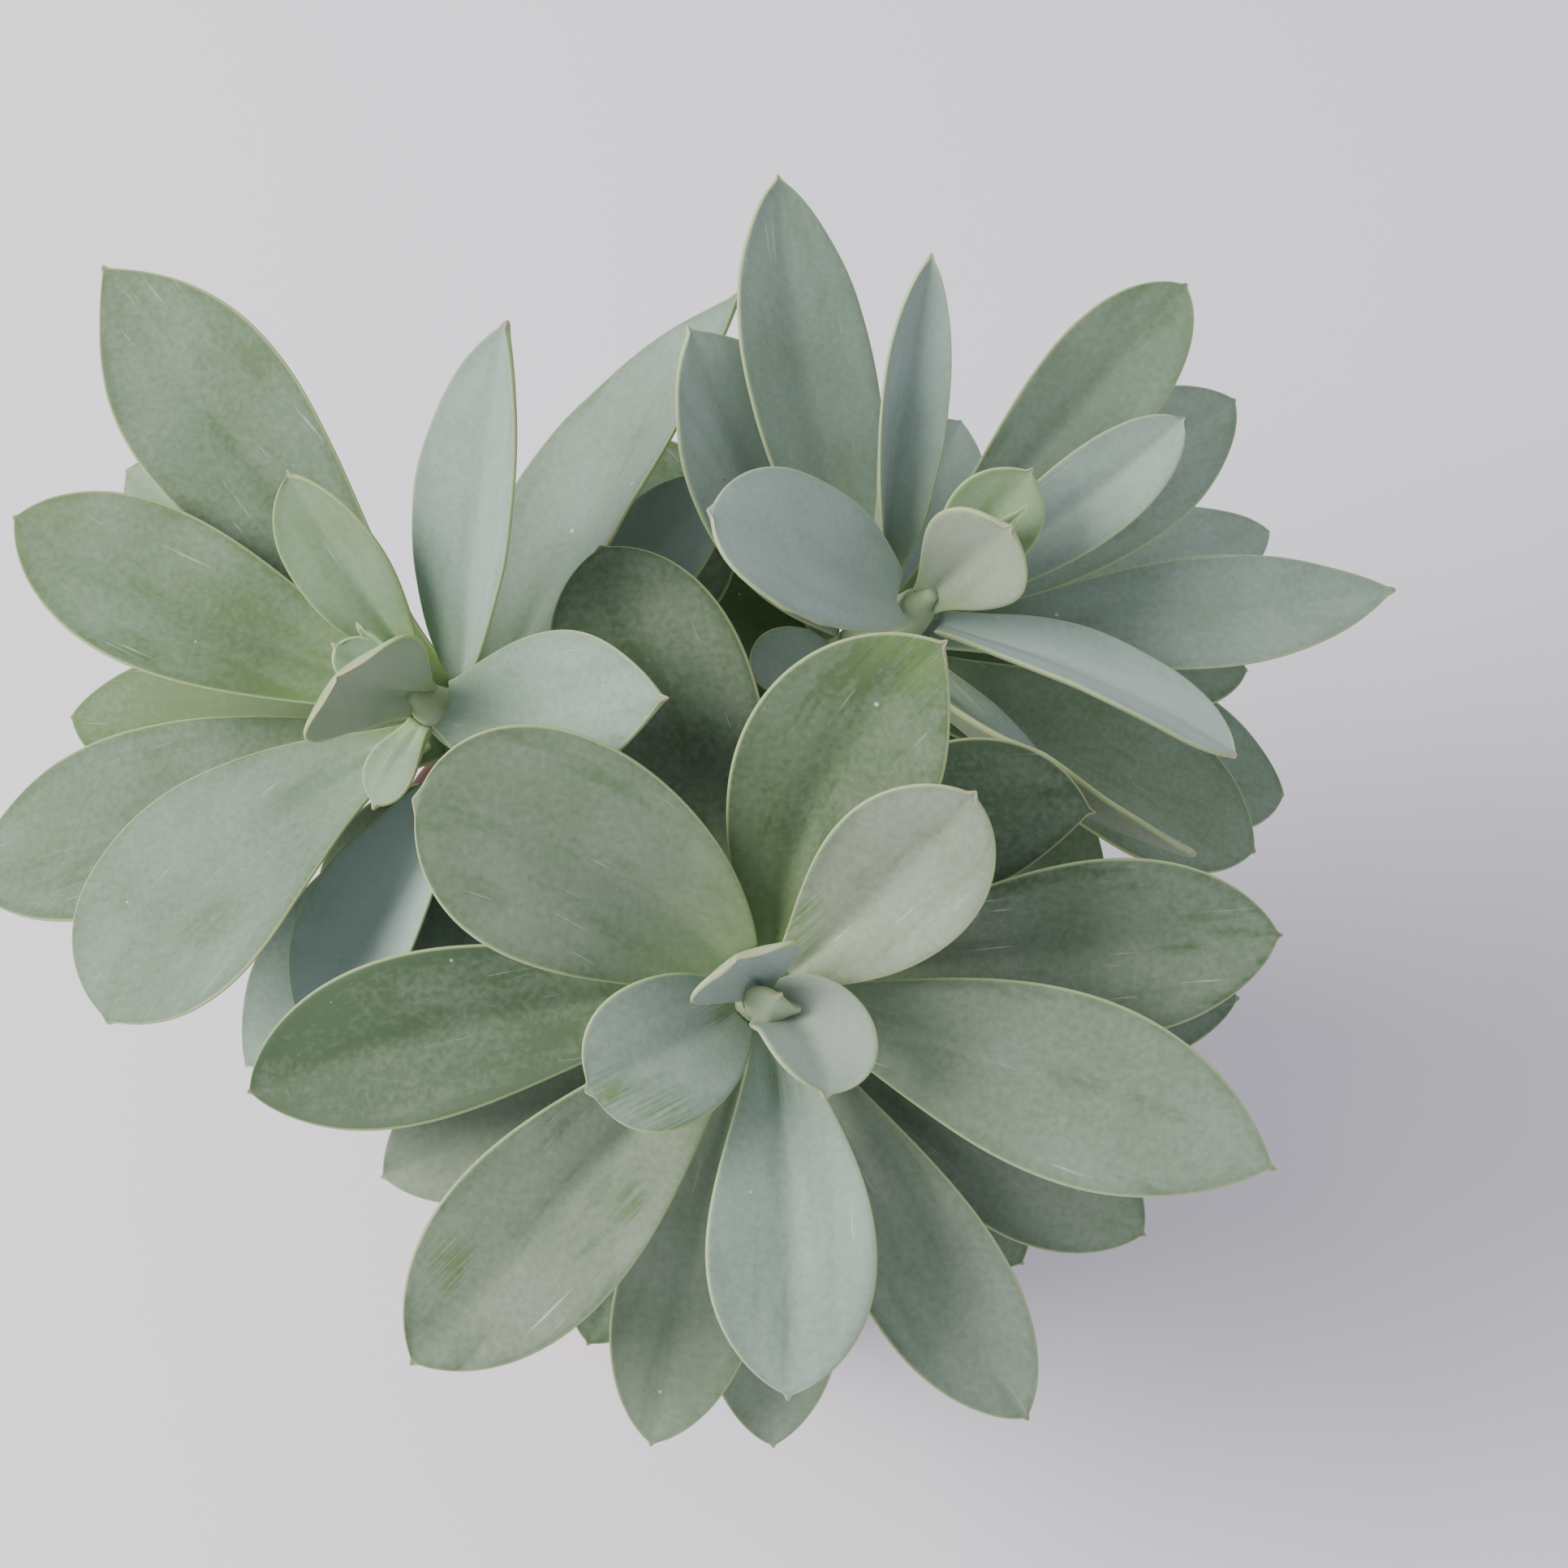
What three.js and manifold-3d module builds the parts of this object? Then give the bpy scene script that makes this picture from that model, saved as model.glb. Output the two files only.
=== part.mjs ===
// A potted rosette succulent: three leafy heads on bare stems in a plain clay pot.
// Millimetres, +Z up. The origin is the centre of the pot's underside, and +X is to the right
// of somebody who faces the front head, which leans towards -Y.

import * as THREE from "three";
import { mergeVertices } from "three/addons/utils/BufferGeometryUtils.js";
import Module from "manifold-3d";

const wasm = await Module();
wasm.setup();

// Driving dimensions.
const clearance = 0.3; // left between two solids that touch
const pot = {
  height: 94,
  footRadius: 37,
  neckRadius: 47.5, // under the collar
  collarRadius: 52, // at the collar's lower edge
  rimRadius: 55,
  collarHeight: 24,
  wall: 5,
  floor: 8,
  innerFoot: 34, // inner radius just above the floor
  cove: 3, // size of the slope between the wall and the floor
  edge: 1.5, // width of the blunted edges
  sides: 40,
  drains: { count: 3, radius: 4, ring: 19, sides: 12 },
};
const soil = {
  top: 84,
  lump: 0.75, // height of the unevenness on top
  socketDepth: 26,
  rings: 7,
  sides: 36,
};
const stem = {
  radius: 4.5,
  tip: 2.2, // radius just under the growing point
  taper: 14, // how far below the growing point it reaches its full radius
  point: 2.5, // length of the cone that closes its tip
  pointRadius: 0.9,
  straight: 34, // how far below the growing point it starts to bend
  bend: 18, // how firmly that bend follows the straight part
  sides: 10,
  steps: 12,
};
const blade = {
  edge: 0.9, // thickness of the margin
  middle: 2.5, // thickness along the midrib
  edgeThins: 0.25, // share of the margin's thickness that is lost towards the tip
  middleThins: 0.55, // and of the midrib's
  tipWidth: 0.9, // width of the tip's blunt end
  neck: 0.25, // width where it leaves the stem, as a share of its full width
  cup: 0.24, // how far the margins stand above the midrib, as a share of half the width
  cupCurve: 1.4, // 1 is a straight V across the blade, 2 is a round trough
  peak: 0.65, // where along the blade it is widest
  blunt: 0.72, // how the outline closes at the tip: under 1 is round, over 1 is drawn out
};

// Each head: where its growing point is, how far it leans from upright and towards which
// side (0 is +X, 90 is +Y), where its stem stands in the soil, and its leaves.
// Each leaf, from the youngest to the oldest:
//   low   how far below the growing point it leaves the stem
//   turn  which way it points round the stem, in degrees
//   lean  its angle from the stem: 0 along it, 90 square to it
//   long, wide  its size
//   arch  how much it bends away from the stem on its way out; under 0 it bends in
//   sway  how much it bends sideways, anticlockwise from above
//   roll  how far the blade turns about its own midrib
//   out   how far from the stem's axis it starts, where that isn't just beside the stem
// and cup, peak, blunt and neck where it differs from the rest. The bud's leaves and the
// skirt, the oldest leaves in the shade under the head, have grown into the stem.
const heads = {
  front: {
    at: [8.5, -35.5, 165],
    lean: 25,
    toward: -90,
    foot: [5, -11],
    bud: [
      { low: 1, out: 2, turn: 118, lean: 18, long: 15, wide: 15, arch: -24, peak: 0.8, blunt: 0.3 },
      { low: 2, out: 2.4, turn: 258, lean: -24, long: 9, wide: 7, arch: -50, sway: -56, neck: 0.8 },
      { low: 4, out: 2, turn: 304, lean: 44, long: 17.5, wide: 14.5, arch: 40, sway: -60,
        roll: -30, cup: 0.4, blunt: 0.5 },
    ],
    skirt: [],
    leaves: [
      { low: 5, out: 4.5, turn: 206, lean: 54, long: 24, wide: 18.5, arch: 50, blunt: 0.5 },
      { low: 7.5, turn: 46, lean: 58, long: 37, wide: 20, arch: 4, sway: 12, blunt: 0.62 },
      { low: 9, turn: 273, lean: 72, long: 46, wide: 21, arch: 10, sway: -14 },
      { low: 10.5, out: 5.5, turn: 151, lean: 68, long: 47.5, wide: 28.5, arch: 14, sway: 30,
        blunt: 0.5 },
      { low: 13, turn: 61, lean: 65, long: 50, wide: 25, arch: -14, sway: -42, peak: 0.6, blunt: 0.85,
        neck: 0.18 },
      { low: 13, turn: 341.2, lean: 80, long: 63, wide: 23.5, arch: 6, sway: -10, peak: 0.6,
        blunt: 0.9 },
      { low: 13, turn: 226, lean: 78, long: 59, wide: 23.5, arch: 10 },
      { low: 17, turn: 302, lean: 84, long: 59, wide: 18.5, arch: 10, sway: 6 },
      { low: 22, turn: 110.5, lean: 92, long: 57, wide: 26, arch: 4, blunt: 0.6 },
      { low: 19, turn: 192, lean: 90, long: 64, wide: 22, arch: 10, sway: 20 },
      { low: 19, turn: 6, lean: 86, long: 62, wide: 23, arch: 6, sway: -6 },
      { low: 22, turn: 256, lean: 90, long: 57, wide: 19, arch: 10 },
      { low: 27, turn: 25, lean: 82, long: 48, wide: 20, arch: 4, sway: -72, blunt: 0.9 },
      { low: 24, turn: 326.6, lean: 92, long: 55.3, wide: 20.5, arch: 10 },
      { low: 26, turn: 207, lean: 95, long: 53, wide: 20, arch: 10 },
      { low: 27, turn: 271, lean: 95, long: 58, wide: 19, arch: 10 },
      { low: 28, turn: 358, lean: 94, long: 59, wide: 20, arch: 10 },
      { low: 31, turn: 244, lean: 97, long: 51, wide: 18, arch: 10 },
      { low: 31, turn: 312, lean: 98, long: 48, wide: 18, arch: 10 },
    ],
  },
  left: {
    at: [-38.5, 9.5, 160],
    lean: 27,
    toward: 198,
    foot: [-12, 5],
    bud: [
      { low: 3, out: 1.5, turn: 128, lean: -16, long: 25.5, wide: 19.5, arch: -8, peak: 0.82,
        blunt: 0.26, neck: 0.3 },
      { low: 2, out: 2, turn: 141, lean: 30, long: 12, wide: 7, arch: 4, blunt: 0.45 },
      { low: 2, out: 2, turn: 112, lean: 30, long: 11.5, wide: 3, arch: 4, blunt: 1 },
    ],
    skirt: [
      { low: 6.5, out: 3, turn: 240, lean: 80, long: 12.5, wide: 8, arch: 4, neck: 0.5 },
      { low: 38, out: 3, turn: 200, lean: 100, long: 46, wide: 20, arch: 10 },
    ],
    leaves: [
      { low: 5.5, turn: 100, lean: 34, long: 34.5, wide: 14, arch: 4, sway: -6, neck: 0.18 },
      { low: 9, turn: 47, lean: 47, long: 57, wide: 18.5, arch: 4, sway: -4, cup: 0.3, peak: 0.52,
        blunt: 0.85, neck: 0.15 },
      { low: 4.5, out: 4, turn: 349.5, lean: 74, long: 40.5, wide: 20.5, arch: 10, sway: 20,
        peak: 0.58, blunt: 0.9, neck: 0.32 },
      { low: 9, turn: 152.5, lean: 62, long: 61, wide: 22, arch: 10, sway: -8 },
      { low: 12, turn: 224.2, lean: 75, long: 58, wide: 31.5, arch: 10, sway: 36, peak: 0.7,
        blunt: 0.62, neck: 0.15 },
      { low: 14, turn: 123, lean: 64, long: 76, wide: 25.2, arch: 10, sway: 1, peak: 0.66, blunt: 1 },
      { low: 20.8, turn: 238, lean: 88, long: 44, wide: 20, arch: 10, cup: 0.45 },
      { low: 17, turn: 193.8, lean: 76, long: 71, wide: 26, arch: 10 },
      { low: 20, turn: 53.4, lean: 86, long: 64.5, wide: 25, arch: 4, sway: -14, roll: -20,
        cup: 0.35, peak: 0.5, blunt: 1 },
      { low: 26, turn: 46, lean: 90, long: 43, wide: 17, arch: 10 },
      { low: 24, turn: 141.5, lean: 76, long: 68, wide: 24, arch: 4 },
      { low: 25, turn: 262, lean: 90, long: 19, wide: 17, arch: 4, blunt: 0.45 },
      { low: 28, turn: 170, lean: 86, long: 72, wide: 21, arch: 4 },
      { low: 30, turn: 221, lean: 92, long: 57, wide: 20, arch: 10 },
      { low: 33, turn: 48, lean: 96, long: 38, wide: 18, arch: 10 },
      { low: 34, turn: 243, lean: 96, long: 48, wide: 18, arch: 10 },
      { low: 29, turn: 6, lean: 98, long: 28, wide: 15, arch: 10 },
    ],
  },
  right: {
    at: [31, 24.5, 160],
    lean: 24,
    toward: -12,
    foot: [10, 10],
    bud: [
      { low: 3, out: 1.5, turn: 50, lean: 2, long: 22.5, wide: 15.5, arch: -6, peak: 0.7,
        blunt: 0.6, neck: 0.3 },
      { low: 2, out: 2.5, turn: 61, lean: 36, long: 21, wide: 13, arch: 4, blunt: 0.7 },
      { low: 2, out: 2.5, turn: 50, lean: 20, long: 19, wide: 3, arch: 4, blunt: 1 },
    ],
    skirt: [
      { low: 40, out: 3, turn: 132, lean: 96, long: 48, wide: 27, arch: 10, peak: 0.5 },
      { low: 41, out: 3, turn: 337, lean: 94, long: 52, wide: 21, arch: 10 },
    ],
    leaves: [
      { low: 11, out: 5.9, turn: 106.5, lean: 42, long: 48, wide: 10.5, arch: 4, sway: -26,
        cup: 0.9, peak: 0.6, neck: 0.15 },
      { low: 9, turn: 40, lean: 50, long: 42.5, wide: 12.5, arch: 4, sway: 16, cup: 0.35, blunt: 0.6 },
      { low: 7, turn: 331, lean: 66, long: 44, wide: 14, arch: 10, sway: -18, roll: -20, cup: 0.35 },
      { low: 4, out: 4.1, turn: 178, lean: 66, long: 36, wide: 20, arch: 30, sway: -18, neck: 0.35,
        blunt: 0.5 },
      { low: 15, turn: 118.3, lean: 62, long: 59.5, wide: 20.5, arch: 4, sway: -26, peak: 0.57,
        blunt: 0.76 },
      { low: 13, turn: 321, lean: 72, long: 48, wide: 16, arch: 4, sway: 40, roll: -60 },
      { low: 15, turn: 8, lean: 70, long: 68.5, wide: 16.5, arch: 10, sway: 14, cup: 0.35,
        peak: 0.6, blunt: 0.95 },
      { low: 18, turn: 54, lean: 66, long: 63.6, wide: 17.5, arch: 4, sway: 0, peak: 0.7, blunt: 0.68 },
      { low: 22, turn: 339, lean: 86, long: 59.5, wide: 24, arch: 10 },
      { low: 21, turn: 140, lean: 60, long: 49, wide: 28.5, arch: 4, sway: -14, peak: 0.55,
        blunt: 0.9, neck: 0.18 },
      { low: 23, turn: 200, lean: 80, long: 14, wide: 10, arch: 30, blunt: 0.5 },
      { low: 25, turn: 39, lean: 78, long: 69, wide: 21, arch: 4 },
      { low: 26, turn: 112, lean: 80, long: 39, wide: 17, arch: 4 },
      { low: 28.5, turn: 8, lean: 88, long: 62, wide: 17, arch: 10 },
      { low: 31, turn: 65, lean: 90, long: 44, wide: 18, arch: 4 },
      { low: 33, turn: 356.3, lean: 94, long: 75, wide: 25, arch: 10 },
      { low: 36.5, turn: 27, lean: 93, long: 87, wide: 19, arch: 4 },
      { low: 34, turn: 102, lean: 88, long: 34, wide: 16, arch: 4 },
      { low: 32, turn: 210, lean: 94, long: 23, wide: 14, arch: 10 },
    ],
  },
};

const leafColours = { front: 0x9aa993, left: 0x9fb3a6, right: 0x9cb09f };
const looks = {
  pot: { color: 0xb5694a, roughness: 0.9, metalness: 0 },
  soil: { color: 0x3a2c22, roughness: 1, metalness: 0 },
  stem: { color: 0x8b9a78, roughness: 0.75, metalness: 0 },
};

const radians = THREE.MathUtils.degToRad;
const vector = (x, y, z) => new THREE.Vector3(x, y, z);

// A closed solid through rings that all have the same number of points. Each ring turns
// anticlockwise as seen from the end that the rings run towards.
function loft(rings) {
  const sides = rings[0].length;
  const positions = rings.flat().flatMap((p) => [p.x, p.y, p.z]);
  const faces = [];
  for (let i = 0; i + 1 < rings.length; i++) {
    for (let j = 0; j < sides; j++) {
      const a = i * sides + j;
      const b = i * sides + ((j + 1) % sides);
      faces.push(a, b, a + sides, b, b + sides, a + sides);
    }
  }
  const last = (rings.length - 1) * sides;
  for (let j = 1; j + 1 < sides; j++) {
    faces.push(0, j + 1, j);
    faces.push(last, last + j, last + j + 1);
  }
  const geometry = new THREE.BufferGeometry();
  geometry.setAttribute("position", new THREE.Float32BufferAttribute(positions, 3));
  geometry.setIndex(faces);
  return geometry;
}

// The same shape as a manifold solid, for a boolean, and back again.
function solidOf(geometry) {
  const bare = geometry.clone();
  bare.deleteAttribute("normal");
  bare.deleteAttribute("uv");
  const merged = mergeVertices(bare, 1e-3);
  const vertProperties = new Float32Array(merged.getAttribute("position").array);
  const triVerts = new Uint32Array(merged.index.array);
  return new wasm.Manifold(new wasm.Mesh({ numProp: 3, vertProperties, triVerts }));
}

function geometryOf(solid) {
  const { vertProperties, triVerts } = solid.getMesh();
  const geometry = new THREE.BufferGeometry();
  geometry.setAttribute("position", new THREE.BufferAttribute(vertProperties, 3));
  geometry.setIndex(new THREE.BufferAttribute(triVerts, 1));
  return geometry;
}

// A head's own directions: up along the stem, and two square to it for turn 0 and turn 90.
function frameOf(head) {
  const lean = radians(head.lean);
  const toward = radians(head.toward);
  const up = vector(Math.sin(lean) * Math.cos(toward), Math.sin(lean) * Math.sin(toward), Math.cos(lean));
  const right = vector(1, 0, 0).addScaledVector(up, -up.x).normalize();
  const back = vector(0, 0, 0).crossVectors(up, right);
  return { at: vector(...head.at), up, right, back };
}

const stemRadius = (low) => stem.tip + (stem.radius - stem.tip) * Math.min(1, Math.max(0, low) / stem.taper);

// Half the blade's width at a share t of the way out.
function halfWidth(leaf, t) {
  const peak = leaf.peak ?? blade.peak;
  const blunt = leaf.blunt ?? blade.blunt;
  const rise = (blunt * peak) / (1 - peak);
  const body = (t / peak) ** rise * ((1 - t) / (1 - peak)) ** blunt;
  return (leaf.wide / 2) * (body + (leaf.neck ?? blade.neck) * (1 - t) ** 3);
}

// One section of a blade: five points over the upper face, then five back under it.
function bladeSection(leaf, t, centre, side, normal) {
  const half = Math.max(halfWidth(leaf, t), blade.tipWidth / 2);
  const cup = (leaf.cup ?? blade.cup) * (1.5 - t) * half;
  const edge = blade.edge * (1 - blade.edgeThins * t);
  const middle = Math.max(edge, blade.middle * (1 - blade.middleThins * t * t));
  const point = (v, under) => {
    const thick = edge + (middle - edge) * (1 - v * v);
    const height = cup * Math.abs(v) ** blade.cupCurve + middle / 2 - (under ? thick : 0);
    return centre.clone().addScaledVector(side, half * v).addScaledVector(normal, height);
  };
  const across = [-1, -0.5, 0, 0.5, 1];
  return [...across.map((v) => point(v, false)), ...across.reverse().map((v) => point(v, true))];
}

const bladeStations = [0, 0.1, 0.22, 0.35, 0.48, 0.6, 0.72, 0.83, 0.92, 0.97, 1];
const budStations = [0, 0.2, 0.45, 0.65, 0.82, 0.93, 1];

// A leaf's blade, swept along its midrib, which starts beside the stem's axis.
function leafGeometry(head, leaf, stations) {
  const { at, up, right, back } = frameOf(head);
  const leanAt = (t) => radians(leaf.lean + leaf.arch * (t - 0.5));
  const turnAt = (t) => radians(leaf.turn + (leaf.sway ?? 0) * (t - 0.5));
  const outward = (t) =>
    vector(0, 0, 0)
      .addScaledVector(right, Math.cos(turnAt(t)))
      .addScaledVector(back, Math.sin(turnAt(t)));
  const heading = (t) =>
    up
      .clone()
      .multiplyScalar(Math.cos(leanAt(t)))
      .addScaledVector(outward(t), Math.sin(leanAt(t)));
  const beside = stemRadius(leaf.low) + clearance + (blade.middle / 2) * Math.abs(Math.cos(leanAt(0)));
  const centre = at.clone().addScaledVector(up, -leaf.low).addScaledVector(outward(0), leaf.out ?? beside);
  const rings = [];
  stations.forEach((t, i) => {
    if (i > 0) {
      const step = t - stations[i - 1];
      centre.addScaledVector(heading(t - step / 2), leaf.long * step);
    }
    const ahead = heading(t);
    const across = vector(0, 0, 0).crossVectors(up, outward(t)).normalize();
    const above = vector(0, 0, 0).crossVectors(ahead, across);
    const roll = radians(leaf.roll ?? 0) * Math.min(1, 2 * t);
    const side = across.clone().multiplyScalar(Math.cos(roll)).addScaledVector(above, Math.sin(roll));
    const normal = above.clone().multiplyScalar(Math.cos(roll)).addScaledVector(across, -Math.sin(roll));
    rings.push(bladeSection(leaf, t, centre, side, normal).reverse());
  });
  return loft(rings);
}

// The curve of a stem, from its foot in the soil up to the growing point.
function stemCurve(head) {
  const { at, up } = frameOf(head);
  const foot = vector(head.foot[0], head.foot[1], soil.top - soil.socketDepth);
  const bend = at.clone().addScaledVector(up, -stem.straight);
  const below = vector(foot.x, foot.y, soil.top);
  const path = new THREE.CurvePath();
  path.add(new THREE.CubicBezierCurve3(foot, below, bend.clone().addScaledVector(up, -stem.bend), bend));
  path.add(new THREE.LineCurve3(bend, at));
  return path;
}

// One ring round the stem's curve, at a share of its length.
function stemRing(path, share, radius) {
  const centre = path.getPointAt(share);
  const ahead = path.getTangentAt(share);
  const side = vector(0, 1, 0).cross(ahead).normalize();
  const other = vector(0, 0, 0).crossVectors(ahead, side);
  const ring = [];
  for (let j = 0; j < stem.sides; j++) {
    const angle = (2 * Math.PI * j) / stem.sides;
    const spoke = side.clone().multiplyScalar(Math.cos(angle)).addScaledVector(other, Math.sin(angle));
    ring.push(centre.clone().addScaledVector(spoke, radius));
  }
  return ring;
}

// A round stem that closes in a short cone at the growing point.
function stemGeometry(head) {
  const path = stemCurve(head);
  const length = path.getLength();
  const shares = Array.from({ length: stem.steps }, (_, i) => i / stem.steps);
  shares.push(1 - stem.point / length);
  const rings = shares.map((share) => stemRing(path, share, stemRadius(length * (1 - share))));
  rings.push(stemRing(path, 1, stem.pointRadius));
  return loft(rings);
}

// The hole that a stem stands in: wider than the stem, and only as tall as the soil needs.
function socketGeometry(head) {
  const path = stemCurve(head);
  const rings = [];
  for (let i = 0; i <= stem.steps / 2; i++) {
    rings.push(stemRing(path, i / stem.steps, stem.radius + clearance));
  }
  return loft(rings).translate(0, 0, -clearance);
}

// The stem in one solid with the leaves that have grown into it: the bud's youngest, which
// still close up round the growing point, and the oldest, low down in the shade.
function stemWithLeaves(head) {
  let solid = solidOf(stemGeometry(head));
  for (const leaf of [...head.bud, ...head.skirt]) {
    solid = solid.add(solidOf(leafGeometry(head, leaf, budStations)));
  }
  return geometryOf(solid);
}

// The clay pot: a tapered wall with a thick collar, and holes in its floor for the water.
function potGeometry() {
  const { height, footRadius, neckRadius, collarRadius, rimRadius, wall, floor, edge, drains } = pot;
  const step = height - pot.collarHeight;
  const profile = [
    [0, 0],
    [footRadius - edge, 0],
    [footRadius, edge],
    [neckRadius, step - edge],
    [neckRadius + edge, step],
    [collarRadius - edge, step],
    [collarRadius, step + edge],
    [rimRadius, height - edge],
    [rimRadius - edge, height],
    [rimRadius - wall, height],
    [rimRadius - wall - edge, height - edge],
    [neckRadius - wall, step],
    [pot.innerFoot, floor + pot.cove],
    [pot.innerFoot - pot.cove, floor],
    [0, floor],
  ].map(([x, y]) => new THREE.Vector2(x, y));
  let solid = solidOf(new THREE.LatheGeometry(profile, pot.sides).rotateX(Math.PI / 2));
  for (let i = 0; i < drains.count; i++) {
    const angle = (2 * Math.PI * i) / drains.count + Math.PI / 2;
    const hole = new THREE.CylinderGeometry(drains.radius, drains.radius, 2 * floor, drains.sides)
      .rotateX(Math.PI / 2)
      .translate(drains.ring * Math.cos(angle), drains.ring * Math.sin(angle), floor / 2);
    solid = solid.subtract(solidOf(hole));
  }
  return geometryOf(solid);
}

// The unevenness of the potting mix: broad waves about 20 mm long with shorter ones on them.
function lumpAt(x, y) {
  return soil.lump * (Math.sin(0.31 * x + 1.1) * Math.cos(0.27 * y) + 0.7 * Math.sin(0.63 * y + 0.4 * x));
}

// The potting mix fills the pot to its own level, lumpy on top, with a hole for each stem.
function soilGeometry() {
  const step = pot.height - pot.collarHeight;
  const low = pot.floor + pot.cove;
  const between = (share, from, to) => from + (to - from) * share;
  const inside = (z) => {
    const middle = pot.neckRadius - pot.wall;
    if (z < step) return between((z - low) / (step - low), pot.innerFoot, middle);
    const share = (z - step) / (pot.height - pot.edge - step);
    return between(share, middle, pot.rimRadius - pot.wall - pot.edge);
  };
  const gap = 2 * clearance;
  const base = pot.floor + clearance;
  const side = [soil.top - 1, step, low].map((z) => [inside(z) - gap, z]);
  const profile = [[0, soil.top]];
  for (let i = 1; i < soil.rings; i++) profile.push([(side[0][0] * i) / soil.rings, soil.top]);
  profile.push(...side, [pot.innerFoot - pot.cove - gap, base], [0, base]);
  const points = profile.reverse().map(([x, y]) => new THREE.Vector2(x, y));
  const geometry = new THREE.LatheGeometry(points, soil.sides).rotateX(Math.PI / 2);
  const position = geometry.getAttribute("position");
  for (let i = 0; i < position.count; i++) {
    if (position.getZ(i) < soil.top) continue;
    position.setZ(i, soil.top + lumpAt(position.getX(i), position.getY(i)));
  }
  let solid = solidOf(geometry);
  for (const head of Object.values(heads)) {
    solid = solid.subtract(solidOf(socketGeometry(head)));
  }
  return geometryOf(solid);
}

function meshOf(name, geometry, look) {
  const mesh = new THREE.Mesh(geometry, new THREE.MeshStandardMaterial(look));
  mesh.name = name;
  return mesh;
}

const plant = new THREE.Group();
plant.add(meshOf("pot", potGeometry(), looks.pot));
plant.add(meshOf("soil", soilGeometry(), looks.soil));
for (const [side, head] of Object.entries(heads)) {
  plant.add(meshOf(`stem_${side}`, stemWithLeaves(head), looks.stem));
  head.leaves.forEach((leaf, i) => {
    const number = String(i + 1).padStart(2, "0");
    const look = { color: leafColours[side], roughness: 0.6, metalness: 0 };
    plant.add(meshOf(`leaf_${side}_${number}`, leafGeometry(head, leaf, bladeStations), look));
  });
}

export default plant;
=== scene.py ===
import math
import random

import bmesh
import bpy
from mathutils import Matrix, Vector, noise


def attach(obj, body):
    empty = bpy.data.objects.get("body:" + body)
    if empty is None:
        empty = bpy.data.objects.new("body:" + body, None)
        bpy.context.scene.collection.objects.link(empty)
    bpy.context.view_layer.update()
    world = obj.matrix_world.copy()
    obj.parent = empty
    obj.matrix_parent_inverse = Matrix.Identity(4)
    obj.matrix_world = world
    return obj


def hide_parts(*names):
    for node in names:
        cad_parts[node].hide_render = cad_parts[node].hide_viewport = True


mm = 0.001  # sizes are in millimetres, unless their comment says otherwise, angles in degrees
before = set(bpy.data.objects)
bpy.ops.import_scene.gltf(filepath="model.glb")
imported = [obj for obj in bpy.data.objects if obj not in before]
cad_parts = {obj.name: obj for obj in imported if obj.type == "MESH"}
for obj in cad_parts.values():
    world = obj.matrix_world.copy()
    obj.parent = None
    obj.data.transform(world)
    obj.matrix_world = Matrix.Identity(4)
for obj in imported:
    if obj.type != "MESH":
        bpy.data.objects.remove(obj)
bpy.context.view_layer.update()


def hexColour(text):
    def toLinear(part):
        value = int(part, 16) / 255
        return value / 12.92 if value <= 0.04045 else ((value + 0.055) / 1.055) ** 2.4
    return (toLinear(text[1:3]), toLinear(text[3:5]), toLinear(text[5:7]), 1.0)


def newMaterial(name):
    material = bpy.data.materials.new(name)
    material.use_nodes = True
    material.node_tree.nodes.clear()
    return material


# Adds a shader node and gives back one of its outputs. An input gets a value, a colour as
# text, or a link from another node's output. A Mix node's colours go in at 6 and 7 and come
# out at 2.
def addNode(material, kind, inputs, out=0, **settings):
    tree = material.node_tree
    node = tree.nodes.new("ShaderNode" + kind)
    for name, value in settings.items():
        setattr(node, name, value)
    for name, value in inputs.items():
        if isinstance(value, bpy.types.NodeSocket):
            tree.links.new(value, node.inputs[name])
        else:
            node.inputs[name].default_value = hexColour(value) if isinstance(value, str) else value
    return node.outputs[out] if len(node.outputs) else None


def finishPiece(bm, name, material, *nodes, smooth=True):
    mesh = bpy.data.meshes.new(name)
    bm.to_mesh(mesh)
    bm.free()
    mesh.materials.append(material)
    if smooth:
        mesh.shade_smooth()
    piece = bpy.data.objects.new(name, mesh)
    bpy.context.scene.collection.objects.link(piece)
    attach(piece, "root")
    if nodes:
        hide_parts(*nodes)
    return piece


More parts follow.
